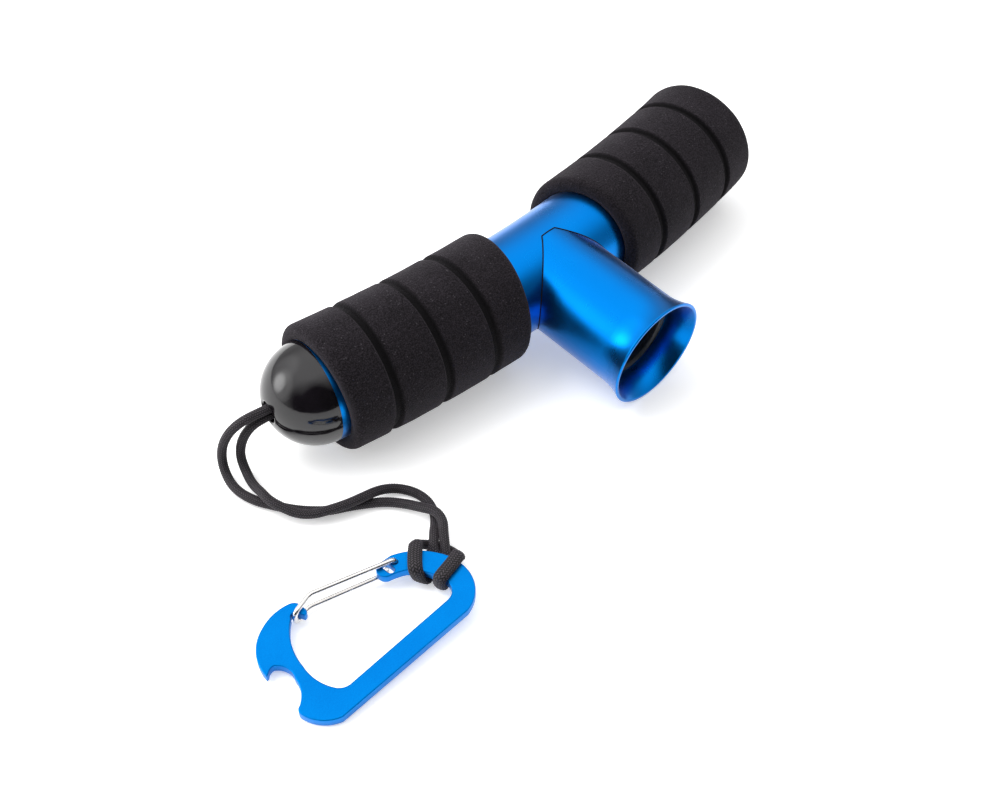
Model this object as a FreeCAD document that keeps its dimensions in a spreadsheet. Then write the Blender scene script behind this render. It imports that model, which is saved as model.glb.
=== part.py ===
"""Rod-butt T-handle for stand-up fishing: a curved cross bar with two foam grips, a flared socket
for the butt of a rod, and a cord lanyard with a bottle-opener carabiner.

Millimetres. +X runs along the cross bar, +Y points away from the socket's mouth and +Z is up.
The bar lies on its foam grips and on the lip of the socket, on the plane z = 0. The origin is on
that plane, under the middle of the bar's own box (the lanyard and the carabiner are left out).
"""
import FreeCAD, Part
import math
import os

import Sketcher
from FreeCAD import Placement, Rotation, Vector

NO_TURN = Rotation()
DIMENSIONS = [
    # cross bar
    ("tube_od", 38.0),
    ("tube_wall", 2.0),
    ("bend_radius", 576.0),
    ("half_length", 102.4),
    ("fit_gap", 0.1),
    # foam grips
    ("grip_od", 48.8),
    ("grip_start", 21.6),
    ("grip_length", 79.8),
    ("groove_radius", 1.3),
    ("groove_first", 20.8),
    ("groove_pitch", 20.5),
    ("grip_edge", 3.0),
    # socket stem, sizes along it are measured from the bar's axis
    ("stem_reach", 58.9),
    ("stem_start", 2.1),
    ("stem_od", 38.4),
    ("stem_bore", 34.0),
    ("flare_length", 10.5),
    ("mouth_od", 43.1),
    ("mouth_bore", 40.3),
    # parts inside the stem
    ("block_start", 6.0),
    ("cup_back", 24.0),
    ("cup_end", 48.0),
    ("cup_bore", 30.0),
    ("pocket_bore", 27.0),
    ("pocket_end", 36.0),
    ("floor_end", 29.6),
    ("seat_depth", 26.0),
    ("seat_bore", 13.0),
    ("pin_place", 32.8),
    ("pin_diameter", 5.0),
    ("bolt_diameter", 6.0),
    ("bolt_clearance", 6.4),
    ("bolt_head_od", 10.5),
    ("bolt_head_height", 2.8),
    ("hex_width", 4.0),
    ("hex_depth", 1.8),
    ("washer_od", 12.4),
    ("washer_height", 0.8),
    ("nut_depth", 5.0),
    ("nut_width", 17.0),
    # end caps and the lanyard's hole
    ("spigot_length", 12.0),
    ("cap_wall", 2.5),
    ("plug_height", 1.8),
    ("cord_hole", 7.8),
    ("knot_diameter", 13.6),
    ("knot_place", 9.6),
    ("cord_diameter", 3.5),
    ("strand_offset", 1.8),
    # carabiner
    ("plate_thickness", 3.6),
    ("wire_diameter", 1.8),
    ("wire_gap", 0.3),
    ("pivot_hole", 1.94),
]

doc = FreeCAD.newDocument("rod_butt_t_handle")
sheet = doc.addObject("Spreadsheet::Sheet", "dims")
for row, (alias, number) in enumerate(DIMENSIONS, start=1):
    sheet.set(f"A{row}", alias)
    sheet.set(f"B{row}", str(number))
    sheet.setAlias(f"B{row}", alias)
doc.recompute()


class Size:
    """A length, known both as a number and as the formula that the spreadsheet gives it."""

    def __init__(self, value, text):
        self.value = value
        self.text = text

    def joined(self, other, sign, value):
        text = other.text if isinstance(other, Size) else str(other)
        return Size(value, f"({self.text} {sign} {text})")

    def __add__(self, other):
        return self.joined(other, "+", self.value + plain(other))

    def __sub__(self, other):
        return self.joined(other, "-", self.value - plain(other))

    def __mul__(self, other):
        return self.joined(other, "*", self.value * plain(other))

    def __truediv__(self, other):
        return self.joined(other, "/", self.value / plain(other))


def plain(size):
    return size.value if isinstance(size, Size) else float(size)


def dim(alias):
    return Size(float(sheet.get(alias)), f"dims.{alias}")


ZERO = Size(0.0, "0")
TUBE_RADIUS = dim("tube_od") / 2
TUBE_BORE = TUBE_RADIUS - dim("tube_wall")
BEND = dim("bend_radius")
STEM_INSIDE = dim("stem_bore") / 2 - dim("fit_gap")
COPE_RADIUS = TUBE_RADIUS + dim("fit_gap")

# The bar is built level, with its middle at the origin, and then laid on its grips: the socket
# tips down until its lip meets the ground.
GRIP_RADIUS = plain(dim("grip_od")) / 2
MOUTH_RADIUS = plain(dim("mouth_od")) / 2
REACH = plain(dim("stem_reach"))
DROOP = math.degrees(math.asin(GRIP_RADIUS / math.hypot(REACH, MOUTH_RADIUS))
                     - math.atan2(MOUTH_RADIUS, REACH))
BAR_MIDDLE = Vector(7.0, 13.7, GRIP_RADIUS - 0.03)
BAR_PLACE = Placement(BAR_MIDDLE, Rotation(Vector(1, 0, 0), DROOP))

# Turns for primitives, which are built along +Z.
ALONG_STEM = Placement(Vector(), Rotation(Vector(1, 0, 0), 90))
ACROSS_STEM = Rotation(Vector(0, 1, 0), 90)


# Turns a shape built along +Y so that it points from the bar to the socket's mouth.
TOWARDS_MOUTH = Placement(Vector(), Rotation(Vector(0, 0, 1), 180))
SUBPARTS = []


def finish(obj, label, place):
    """Give an object its node's name and put it where it lies."""
    obj.Label = label
    obj.Placement = place.multiply(obj.Placement)
    SUBPARTS.append(obj)


# ---------------------------------------------------------------- general helpers
def bound(kind, name, place=None, **sizes):
    """A Part primitive whose properties are bound to the spreadsheet."""
    obj = doc.addObject(f"Part::{kind}", name)
    for prop, size in sizes.items():
        if isinstance(size, Size):
            setattr(obj, prop, size.value)
            obj.setExpression(prop, size.text)
        else:
            setattr(obj, prop, size)
    if place:
        obj.Placement = place
    return obj


def cut(name, base, *tools):
    """The base with every tool taken away from it."""
    for index, tool in enumerate(tools):
        result = doc.addObject("Part::Cut", f"{name}_cut{index}")
        result.Base = base
        result.Tool = tool
        base = result
    return base


def common(name, base, tool):
    result = doc.addObject("Part::Common", f"{name}_common")
    result.Base = base
    result.Tool = tool
    return result


def bar_frame(distance):
    """Placement on the bar's axis, a distance along it: X along the bar, Y out of its bend."""
    turn = distance / plain(BEND)
    middle = Vector(plain(BEND) * math.sin(turn), plain(BEND) * (1 - math.cos(turn)), 0)
    return Placement(middle, Rotation(Vector(0, 0, 1), math.degrees(turn)))


def bent_rod(name, radius, start, end):
    """A round rod that follows the bar's bend from one distance along it to another."""
    rod = bound("Torus", name, Radius1=BEND, Radius2=radius,
                Angle3=(end - start) / BEND * (180 / math.pi))
    first = math.degrees(plain(start) / plain(BEND)) - 90
    rod.Placement = Placement(Vector(0, plain(BEND), 0), Rotation(Vector(0, 0, 1), first))
    return rod


def ring_on_bar(name, distance, ring_radius, section_radius):
    """A ring round the bar's axis, square to it."""
    place = bar_frame(plain(distance)).multiply(Placement(Vector(), ACROSS_STEM))
    return bound("Torus", name, place, Radius1=ring_radius, Radius2=section_radius)


def new_sketch(body, name, role="XY_Plane"):
    plane = [f for f in body.Origin.OriginFeatures if f.Role == role][0]
    sketch = body.newObject("Sketcher::SketchObject", name)
    sketch.AttachmentSupport = [(plane, "")]
    sketch.MapMode = "FlatFace"
    return sketch


def fix_point(sketch, edge, end, across, up):
    """Hold one end of an edge at a place given by two sizes."""
    for kind, axis, size in (("DistanceX", -2, across), ("DistanceY", -1, up)):
        value = plain(size)
        if abs(value) < 1e-9:
            sketch.addConstraint(Sketcher.Constraint("PointOnObject", edge, end, axis))
            continue
        ends = (-1, 1, edge, end) if value > 0 else (edge, end, -1, 1)
        index = sketch.addConstraint(Sketcher.Constraint(kind, *ends, abs(value)))
        if isinstance(size, Size):
            sign = "" if value > 0 else "-1 * "
            sketch.setExpression(f"Constraints[{index}]", sign + size.text)


def closed_outline(sketch, corners, bulges=None):
    """A closed outline through the corners. bulges maps an edge's number to a point on its arc."""
    bulges = bulges or {}
    first = sketch.GeometryCount
    ends = []
    for number, corner in enumerate(corners):
        here = Vector(plain(corner[0]), plain(corner[1]), 0)
        after = corners[(number + 1) % len(corners)]
        there = Vector(plain(after[0]), plain(after[1]), 0)
        if number in bulges:
            via = Vector(*bulges[number], 0)
            edge = sketch.addGeometry(Part.Arc(here, via, there))
            start = 1 if sketch.getPoint(edge, 1).distanceToPoint(here) < 1e-6 else 2
        else:
            edge = sketch.addGeometry(Part.LineSegment(here, there))
            start = 1
        ends.append((edge, start))
    for number, (edge, start) in enumerate(ends):
        before, start_before = ends[number - 1]
        joint = (before, 3 - start_before, edge, start)
        sketch.addConstraint(Sketcher.Constraint("Coincident", *joint))
        fix_point(sketch, edge, start, *corners[number])
    for number in bulges:
        edge = first + number
        radius = sketch.Geometry[edge].Radius
        sketch.addConstraint(Sketcher.Constraint("Radius", edge, radius))


def arc_middle(centre, radius, degrees):
    return (centre[0] + radius * math.cos(math.radians(degrees)),
            centre[1] + radius * math.sin(math.radians(degrees)))


def turned(name, corners, bulges=None):
    """A body turned about the Y axis from an outline given as (radius, height) corners."""
    body = doc.addObject("PartDesign::Body", name)
    sketch = new_sketch(body, f"{name}_outline")
    closed_outline(sketch, corners, bulges)
    revolution = body.newObject("PartDesign::Revolution", f"{name}_turn")
    revolution.Profile = sketch
    revolution.ReferenceAxis = (sketch, ["V_Axis"])
    revolution.Angle = 360
    body.Tip = revolution
    return body


def rounded_path(points, radii=None):
    """Straight runs joined by tangent arcs. Each arc is as large as its two runs allow, unless
    radii gives its radius."""
    edges = []
    last = points[0]
    smallest = math.inf
    for number in range(1, len(points) - 1):
        before = points[number - 1] - points[number]
        after = points[number + 1] - points[number]
        half_turn = (math.pi - before.getAngle(after)) / 2
        radius = 0.45 * min(before.Length, after.Length) / math.tan(half_turn)
        if radii:
            radius = radii[number - 1]
        setback = radius * math.tan(half_turn)
        before.normalize()
        after.normalize()
        enter = points[number] + before * setback
        leave = points[number] + after * setback
        inward = (before + after).normalize()
        middle = points[number] + inward * (radius / math.cos(half_turn) - radius)
        edges.append(Part.LineSegment(last, enter).toShape())
        edges.append(Part.Arc(enter, middle, leave).toShape())
        last = leave
        smallest = min(smallest, radius)
    edges.append(Part.LineSegment(last, points[-1]).toShape())
    return Part.Wire(edges), smallest


def swept_round(name, points, radius, radii=None):
    """A round bar or cord along a path; prints its tightest bend and checks its volume."""
    path, smallest = rounded_path(points, radii)
    start = (points[1] - points[0]).normalize()
    section = Part.Wire([Part.makeCircle(radius, points[0], start)])
    solid = path.makePipeShell([section], True, False)
    expected = math.pi * radius ** 2 * path.Length
    print(f"{name}: length {path.Length:.1f}, tightest radius {smallest:.1f}, "
          f"volume {solid.Volume / expected:.4f} of section times length")
    assert abs(solid.Volume / expected - 1) < 0.01
    feature = doc.addObject("Part::Feature", name)
    feature.Shape = solid
    return feature


# ---------------------------------------------------------------- cross bar
def make_cross_tube():
    half = dim("half_length")
    outside = bent_rod("tube_outside", TUBE_RADIUS, ZERO - half, half)
    inside = bent_rod("tube_inside", TUBE_BORE, ZERO - half - 2, half + 2)
    bolt_hole = bound("Cylinder", "tube_bolt_hole", ALONG_STEM,
                      Radius=dim("bolt_clearance") / 2, Height=TUBE_RADIUS + 2)
    finish(cut("cross_tube", outside, inside, bolt_hole), "cross_tube", BAR_PLACE)


def make_grip(side, label):
    """A foam sleeve with three grooves round it. side is -1 at the lanyard's end, else 1."""
    near = dim("grip_start")
    far = near + dim("grip_length")
    low, high = (near, far) if side > 0 else (ZERO - far, ZERO - near)
    outside = bent_rod(f"{label}_outside", dim("grip_od") / 2, low, high)
    inside = bent_rod(f"{label}_inside", TUBE_RADIUS + dim("fit_gap"), low - 2, high + 2)
    sleeve = cut(f"{label}_sleeve", outside, inside)
    doc.recompute()
    rounded = doc.addObject("Part::Fillet", f"{label}_rounded")
    rounded.Base = sleeve
    edge_radius = plain(dim("grip_edge"))
    rims = [number for number, edge in enumerate(sleeve.Shape.Edges, start=1)
            if is_circle(edge, plain(dim("grip_od")) / 2)]
    rounded.Edges = [(number, edge_radius, edge_radius) for number in rims]
    grooves = []
    for index in range(3):
        distance = near + dim("groove_first") + dim("groove_pitch") * index
        grooves.append(ring_on_bar(f"{label}_groove{index}", distance * side,
                                   dim("grip_od") / 2, dim("groove_radius")))
    finish(cut(label, rounded, *grooves), label, BAR_PLACE)


def is_circle(edge, radius):
    return isinstance(edge.Curve, Part.Circle) and abs(edge.Curve.Radius - radius) < 1e-6


# ---------------------------------------------------------------- socket stem
def flare_arc(radius, rim, start, length):
    """Middle of the arc that leaves a wall tangentially and reaches the rim's radius."""
    step = rim - radius
    sweep_radius = (length ** 2 + step ** 2) / (2 * step)
    sweep = math.degrees(math.asin(length / sweep_radius))
    return arc_middle((radius + sweep_radius, start), sweep_radius, 180 - sweep / 2)


def make_socket_stem():
    outer = dim("stem_od") / 2
    bore = dim("stem_bore") / 2
    rim = dim("mouth_od") / 2
    rim_bore = dim("mouth_bore") / 2
    start = dim("stem_start")
    reach = dim("stem_reach")
    flare = reach - dim("flare_length")
    corners = [(bore, start), (outer, start), (outer, flare), (rim, reach), (rim_bore, reach),
               (bore, flare)]
    length = plain(dim("flare_length"))
    bulges = {
        2: flare_arc(plain(outer), plain(rim), plain(flare), length),
        4: flare_arc(plain(bore), plain(rim_bore), plain(flare), length),
    }
    tube = turned("stem_tube", corners, bulges)
    doc.recompute()
    lip = doc.addObject("Part::Fillet", "stem_lip")
    lip.Base = tube
    round_lip = 0.45
    lip.Edges = [(number, round_lip, round_lip)
                 for number, edge in enumerate(tube.Shape.Edges, start=1)
                 if is_circle(edge, plain(rim)) or is_circle(edge, plain(rim_bore))]
    lip.Placement = TOWARDS_MOUTH
    cope = bent_rod("stem_cope", COPE_RADIUS, ZERO - 40, ZERO + 40)
    finish(cut("socket_stem", lip, cope), "socket_stem", BAR_PLACE)


def make_saddle_block():
    start = dim("block_start")
    end = dim("cup_back") - 0.05
    hole = dim("bolt_clearance") / 2
    corners = [(hole, start), (STEM_INSIDE, start), (STEM_INSIDE, end), (hole, end)]
    blank = turned("block_blank", corners)
    blank.Placement = TOWARDS_MOUTH
    cope = bent_rod("block_cope", COPE_RADIUS, ZERO - 40, ZERO + 40)
    finish(cut("saddle_block", blank, cope), "saddle_block", BAR_PLACE)


def make_butt_cup():
    back = dim("cup_back")
    hole = dim("bolt_clearance") / 2
    seat = dim("seat_bore") / 2
    pocket = dim("pocket_bore") / 2
    bore = dim("cup_bore") / 2
    end = dim("cup_end")
    lead_in = 0.8
    corners = [(hole, back), (STEM_INSIDE, back), (STEM_INSIDE, end), (bore + lead_in, end),
               (bore, end - lead_in), (bore, dim("pocket_end")), (pocket, dim("pocket_end")),
               (pocket, dim("floor_end")), (seat, dim("floor_end")), (seat, dim("seat_depth")),
               (hole, dim("seat_depth"))]
    cup = turned("cup_blank", corners)
    cup.Placement = TOWARDS_MOUTH
    reach = 20
    hole_place = Placement(Vector(-reach, -plain(dim("pin_place")), 0), ACROSS_STEM)
    cross_hole = bound("Cylinder", "cup_pin_hole", hole_place,
                       Radius=dim("pin_diameter") / 2 + 0.02, Height=2 * reach)
    finish(cut("butt_cup", cup, cross_hole), "butt_cup", BAR_PLACE)


def make_gimbal_pin():
    length = STEM_INSIDE * 2 - 0.6
    start = Vector(-plain(length) / 2, -plain(dim("pin_place")), 0)
    pin = bound("Cylinder", "pin_rod", Placement(start, ACROSS_STEM),
                Radius=dim("pin_diameter") / 2, Height=length)
    finish(pin, "gimbal_pin", BAR_PLACE)


def make_stem_bolt():
    """Button-head bolt through the cup's floor, the block and the tube, into the nut plate."""
    shank = dim("bolt_diameter") / 2
    head = dim("bolt_head_od") / 2
    seat = dim("seat_depth") + dim("washer_height")
    top = seat + dim("bolt_head_height")
    tip = TUBE_BORE - dim("nut_depth") - 1
    crown = 1.6
    bolt = turned("bolt_blank", [(ZERO, tip), (shank, tip), (shank, seat), (head, seat),
                                 (head - crown, top), (ZERO, top)])
    bolt.Placement = TOWARDS_MOUTH
    socket = bound("Prism", "bolt_hex", Polygon=6, Circumradius=dim("hex_width") / math.sqrt(3),
                   Height=dim("hex_depth") + 1)
    socket.Placement = Placement(Vector(0, -plain(top) - 1, 0), Rotation(Vector(1, 0, 0), -90))
    finish(cut("stem_bolt", bolt, socket), "stem_bolt", BAR_PLACE)
    hole = dim("bolt_clearance") / 2
    rim = dim("washer_od") / 2
    low = dim("seat_depth") + 0.02
    high = seat - 0.02
    washer = turned("washer_blank", [(hole, low), (rim, low), (rim, high), (hole, high)])
    washer.Placement = TOWARDS_MOUTH
    finish(washer, "stem_washer", BAR_PLACE)


def make_nut_plate():
    """A thick plate inside the cross tube, rounded on one face to fit its wall."""
    width = dim("nut_width")
    depth = dim("nut_depth")
    corner = Vector(-plain(width) / 2, -plain(TUBE_BORE) - 1, -plain(width) / 2)
    block = bound("Box", "nut_block", Placement(corner, NO_TURN),
                  Length=width, Width=depth + 1, Height=width)
    limit = bent_rod("nut_limit", TUBE_BORE - dim("fit_gap"), ZERO - 40, ZERO + 40)
    tapped = bound("Cylinder", "nut_hole", ALONG_STEM,
                   Radius=dim("bolt_diameter") / 2 + 0.03, Height=TUBE_RADIUS)
    finish(cut("nut_plate", common("nut_plate", block, limit), tapped), "nut_plate", BAR_PLACE)


# ---------------------------------------------------------------- end caps
def end_frame(side):
    """Placement at one end of the bar, with Y pointing out of the tube."""
    turn = Placement(Vector(), Rotation(Vector(0, 0, 1), -90 * side))
    return bar_frame(plain(dim("half_length")) * side).multiply(turn)


def chord(radius, half_width):
    """Height at which a circle of this radius is twice half_width wide."""
    value = math.sqrt(plain(radius) ** 2 - plain(half_width) ** 2)
    return Size(value, f"sqrt({radius.text}^2 - {half_width.text}^2)")


NEAR_END = end_frame(-1)
FAR_END = end_frame(1)
CAP_FOOT = 0.05


def make_near_end_cap():
    """Round dome with a hole in its top for the cord, on a spigot that fits in the tube."""
    dome = TUBE_RADIUS
    dome_inside = dome - dim("cap_wall")
    spigot = TUBE_BORE - dim("fit_gap") * 3
    spigot_inside = spigot - dim("cap_wall")
    hole = dim("cord_hole") / 2
    top_outside = chord(dome, hole)
    top_inside = chord(dome_inside, hole)
    step = chord(dome_inside, spigot_inside)
    corners = [(hole, top_inside), (hole, top_outside), (dome, CAP_FOOT), (spigot, CAP_FOOT),
               (spigot, ZERO - dim("spigot_length")), (spigot_inside, ZERO - dim("spigot_length")),
               (spigot_inside, step)]
    bulges = {1: arc_middle((0, 0), plain(dome), 40), 6: arc_middle((0, 0), plain(dome_inside), 50)}
    cap = turned("near_cap", corners, bulges)
    doc.recompute()
    smooth = doc.addObject("Part::Fillet", "near_cap_hole_edge")
    smooth.Base = cap
    round_hole = 0.8
    rim = plain(top_outside) - 1e-3
    smooth.Edges = [(number, round_hole, round_hole)
                    for number, edge in enumerate(cap.Shape.Edges, start=1)
                    if is_circle(edge, plain(hole)) and edge.BoundBox.YMin > rim]
    smooth.Placement = NEAR_END
    finish(smooth, "near_end_cap", BAR_PLACE)


def make_far_end_cap():
    """Flat plug with a rounded edge."""
    head = TUBE_RADIUS
    spigot = TUBE_BORE - dim("fit_gap") * 3
    spigot_inside = spigot - dim("cap_wall")
    top = dim("plug_height")
    edge = 1.4
    corners = [(ZERO, top), (head - edge, top), (head, top - edge), (head, CAP_FOOT),
               (spigot, CAP_FOOT), (spigot, ZERO - dim("spigot_length")),
               (spigot_inside, ZERO - dim("spigot_length")),
               (spigot_inside, ZERO - dim("cap_wall")), (ZERO, ZERO - dim("cap_wall"))]
    centre = (plain(head) - edge, plain(top) - edge)
    cap = turned("far_cap", corners, {1: arc_middle(centre, edge, 45)})
    cap.Placement = FAR_END
    finish(cap, "far_end_cap", BAR_PLACE)


def make_lanyard_knot():
    """Stopper knot behind the hole in the dome, as a ball."""
    knot = bound("Sphere", "knot_ball", Radius=dim("knot_diameter") / 2)
    knot.Placement = NEAR_END.multiply(Placement(Vector(0, plain(dim("knot_place")), 0), NO_TURN))
    finish(knot, "lanyard_knot", BAR_PLACE)


# ---------------------------------------------------------------- carabiner
# The plate's own frame: u along its spine, v towards the gate and w up from its underside. It
# lies tilted, on a corner of the opener, on the wire under its hook and on the cord's hitch.
PLATE_CENTRE = Vector(-144.0, -63.5, 0)
PLATE_HEIGHT = 2.55
RISE_ALONG = 0.0583
RISE_ACROSS = 0.0338
PLATE_SPINE = Vector(1, 0, RISE_ALONG)
PLATE_UP = Vector(-RISE_ALONG, -RISE_ACROSS, 1)
PLATE_PLACE = Placement(Vector(BAR_MIDDLE.x, BAR_MIDDLE.y, PLATE_HEIGHT) + PLATE_CENTRE,
                        Rotation(PLATE_SPINE, Vector(), PLATE_UP, "XZY"))
PIVOT = (21.7, 9.6)
SECOND_EYE = (18.6, 10.2)
GATE_OPENING = 28
WIRE_NOTCH = (-15.0, 16.8)

PLATE_OUTLINE = [
    # (u, v) corner, and a point on the arc that leaves it (none for a straight edge)
    ((26.0, -20.5), None),
    ((-27.5, -20.8), (-33.2, -17.0)),
    ((-36.1, -11.0), (-35.8, -9.4)),
    ((-34.6, -8.5), (-31.2, -5.3)),
    ((-29.4, -0.4), (-29.1, 4.6)),
    ((-31.5, 7.7), (-33.1, 7.5)),
    ((-34.4, 6.6), None),
    ((-35.4, 6.4), (-33.5, 13.6)),
    ((-25.4, 20.7), (-18.6, 22.3)),
    ((-13.4, 21.7), (-11.2, 19.9)),
    ((-10.9, 17.0), (-11.2, 15.3)),
    ((-12.6, 14.8), None),
    ((-13.45, 16.7), (-15.0, 18.15)),
    ((-16.5, 17.0), (-22.2, 10.0)),
    ((-24.8, 1.0), (-24.6, -6.6)),
    ((-22.4, -11.6), (-20.6, -13.2)),
    ((-17.6, -13.8), None),
    ((24.0, -13.0), (27.7, -11.3)),
    ((28.8, -7.6), (27.0, -2.0)),
    ((22.2, 4.4), (19.6, 5.7)),
    ((16.6, 6.7), (14.6, 10.4)),
    ((17.3, 12.8), None),
    ((22.3, 12.4), (28.5, 8.9)),
    ((34.2, 2.4), (36.3, -2.2)),
    ((36.9, -8.0), (34.6, -15.0)),
]


def make_carabiner_body():
    body = doc.addObject("PartDesign::Body", "plate")
    sketch = new_sketch(body, "plate_outline")
    corners = [corner for corner, _ in PLATE_OUTLINE]
    bulges = {number: via for number, (_, via) in enumerate(PLATE_OUTLINE) if via}
    closed_outline(sketch, corners, bulges)
    hole = Part.Circle(Vector(*PIVOT, 0), Vector(0, 0, 1), plain(dim("pivot_hole")) / 2)
    pivot = sketch.addGeometry(hole)
    fix_point(sketch, pivot, 3, *PIVOT)
    index = sketch.addConstraint(Sketcher.Constraint("Diameter", pivot, plain(dim("pivot_hole"))))
    sketch.setExpression(f"Constraints[{index}]", "dims.pivot_hole")
    closed_outline(sketch, *second_eye_slot())
    pad = body.newObject("PartDesign::Pad", "plate_pad")
    pad.Profile = sketch
    pad.Length = plain(dim("plate_thickness"))
    pad.setExpression("Length", "dims.plate_thickness")
    body.Tip = pad
    finish(body, "carabiner_body", PLATE_PLACE)


def swung(point, degrees):
    """A place in the plate's plane after the gate has turned about its pivot."""
    turn = math.radians(degrees)
    across, up = point[0] - PIVOT[0], point[1] - PIVOT[1]
    return (PIVOT[0] + across * math.cos(turn) - up * math.sin(turn),
            PIVOT[1] + across * math.sin(turn) + up * math.cos(turn))


def second_eye_slot():
    """Outline of the slot that the wire's second end travels in as the gate opens."""
    half_width = 1.3
    end_play = 0.45
    tip_height = 0.85
    closed = Vector(*SECOND_EYE, 0)
    opened = Vector(*swung(SECOND_EYE, GATE_OPENING), 0)
    along = (closed - opened).normalize()
    side = Vector(along.y, -along.x, 0) * half_width
    closed_end = closed + along * end_play
    open_end = opened - along * end_play
    corners = [open_end + side, closed_end + side, closed_end - side, open_end - side]
    tips = {1: closed_end + along * tip_height, 3: open_end - along * tip_height}
    return [(c.x, c.y) for c in corners], {edge: (t.x, t.y) for edge, t in tips.items()}


def make_carabiner_gate():
    """One wire: two legs that straddle the plate, a loop at the hook and two ends in its eyes."""
    radius = plain(dim("wire_diameter")) / 2
    above = plain(dim("plate_thickness")) + plain(dim("wire_gap")) + radius
    below = -plain(dim("wire_gap")) - radius
    points = [
        Vector(*PIVOT, 1.9),
        Vector(*PIVOT, above),
        Vector(-7.0, 19.0, above),
        Vector(*WIRE_NOTCH, above),
        Vector(*WIRE_NOTCH, below),
        Vector(-8.4, 18.6, below),
        Vector(*SECOND_EYE, below),
        Vector(*SECOND_EYE, 1.5),
    ]
    bends = [1.4, 5.0, 2.0, 2.0, 5.0, 1.4]
    finish(swept_round("gate_wire", points, radius, bends), "carabiner_gate", PLATE_PLACE)


# ---------------------------------------------------------------- lanyard
# One cord: out of the dome, along the ground to the carabiner, round its arm as a lark's head and
# back. Strands are given from the bar's middle (z from the ground), the hitch in the plate's frame.
NEAR_STRAND = [
    (-125.6, 13.8, 26.4),
    (-130.4, 16.4, 23.4),
    (-133.7, 19.1, 17.6),
    (-135.5, 20.5, 10.6),
    (-136.7, 19.1, 4.4),
    (-138.4, 13.4, 1.8),
    (-138.8, 7.4, 1.8),
    (-137.0, 0.6, 1.8),
    (-133.8, -4.8, 1.8),
    (-130.8, -10.0, 1.8),
    (-126.7, -15.0, 1.8),
    (-121.8, -19.5, 1.8),
    (-115.8, -22.6, 1.8),
    (-110.3, -26.1, 1.8),
    (-104.9, -30.1, 1.8),
    (-100.9, -35.6, 2.2),
    (-99.2, -41.8, 4.4),
    (-97.7, -46.8, 6.2),
    (-98.6, -51.7, 6.5),
]
FAR_STRAND = [
    (-123.8, 13.6, 22.4),
    (-127.4, 15.4, 18.6),
    (-129.3, 17.1, 12.6),
    (-130.7, 16.7, 6.8),
    (-132.0, 12.4, 3.2),
    (-133.7, 6.6, 2.8),
    (-134.8, 0.4, 5.2),
    (-135.3, -4.8, 5.6),
    (-133.5, -10.0, 4.8),
    (-131.4, -14.4, 4.0),
    (-127.6, -18.4, 4.0),
    (-122.8, -21.4, 5.0),
    (-117.0, -23.9, 5.4),
    (-110.6, -25.7, 5.8),
    (-104.6, -25.8, 4.0),
    (-98.8, -27.6, 1.9),
    (-95.2, -33.0, 1.8),
    (-94.2, -39.0, 1.8),
    (-96.0, -44.6, 1.8),
    (-99.4, -48.8, 2.0),
    (-103.5, -52.5, 4.9),
]
HITCH = [
    (41.8, 7.6, 1.3),
    (38.8, 3.6, 0.2),
    (35.6, 0.4, -2.05),
    (31.2, -3.2, -2.05),
    (26.5, -6.7, -2.1),
    (26.4, -6.9, 5.7),
    (32.8, -5.4, 5.7),
    (39.1, -3.6, 5.6),
    (39.9, -2.4, -2.3),
    (41.8, 3.4, -3.3),
    (38.2, 11.0, -3.3),
    (31.9, 10.6, -2.3),
    (31.5, 9.9, 5.5),
    (27.6, 6.2, 5.7),
    (22.5, 0.2, 5.9),
    (23.4, -1.3, -2.1),
    (29.0, 1.4, -2.05),
    (34.0, 4.4, -2.1),
    (37.0, 7.2, 1.7),
]


def out_of_hole(up):
    """Where a strand starts, just outside the knot, in the hole in the dome."""
    start = plain(dim("knot_place")) + plain(dim("knot_diameter")) / 2 + 0.1
    return BAR_PLACE.multiply(NEAR_END).multVec(Vector(0, start, up * plain(dim("strand_offset"))))


def make_lanyard():
    from_bar = Vector(BAR_MIDDLE.x, BAR_MIDDLE.y, 0)
    near = [out_of_hole(1)] + [Vector(*point) + from_bar for point in NEAR_STRAND]
    far = [out_of_hole(-1)] + [Vector(*point) + from_bar for point in FAR_STRAND]
    hitch = [PLATE_PLACE.multVec(Vector(*point)) for point in HITCH]
    joints = [(near[-1] + hitch[0]) * 0.5, (far[-1] + hitch[-1]) * 0.5]
    radius = plain(dim("cord_diameter")) / 2
    for label, points in (("lanyard_near_strand", near + joints[:1]),
                          ("lanyard_far_strand", far + joints[1:]),
                          ("lanyard_hitch", joints[:1] + hitch + joints[1:])):
        finish(swept_round(f"{label}_tube", points, radius), label, Placement())


# ---------------------------------------------------------------- the whole
make_cross_tube()
make_grip(-1, "near_grip")
make_grip(1, "far_grip")
make_socket_stem()
make_saddle_block()
make_butt_cup()
make_gimbal_pin()
make_stem_bolt()
make_nut_plate()
make_near_end_cap()
make_far_end_cap()
make_lanyard_knot()
make_carabiner_body()
make_carabiner_gate()
make_lanyard()
doc.recompute()

for obj in doc.Objects:
    broken = [state for state in obj.State if state in ("Invalid", "Error")]
    if broken:
        raise RuntimeError(f"{obj.Label} is {broken}")
for obj in SUBPARTS:
    shape = obj.Shape
    if shape.isNull() or not shape.isValid():
        raise RuntimeError(f"{obj.Label} has no valid shape")

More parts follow.
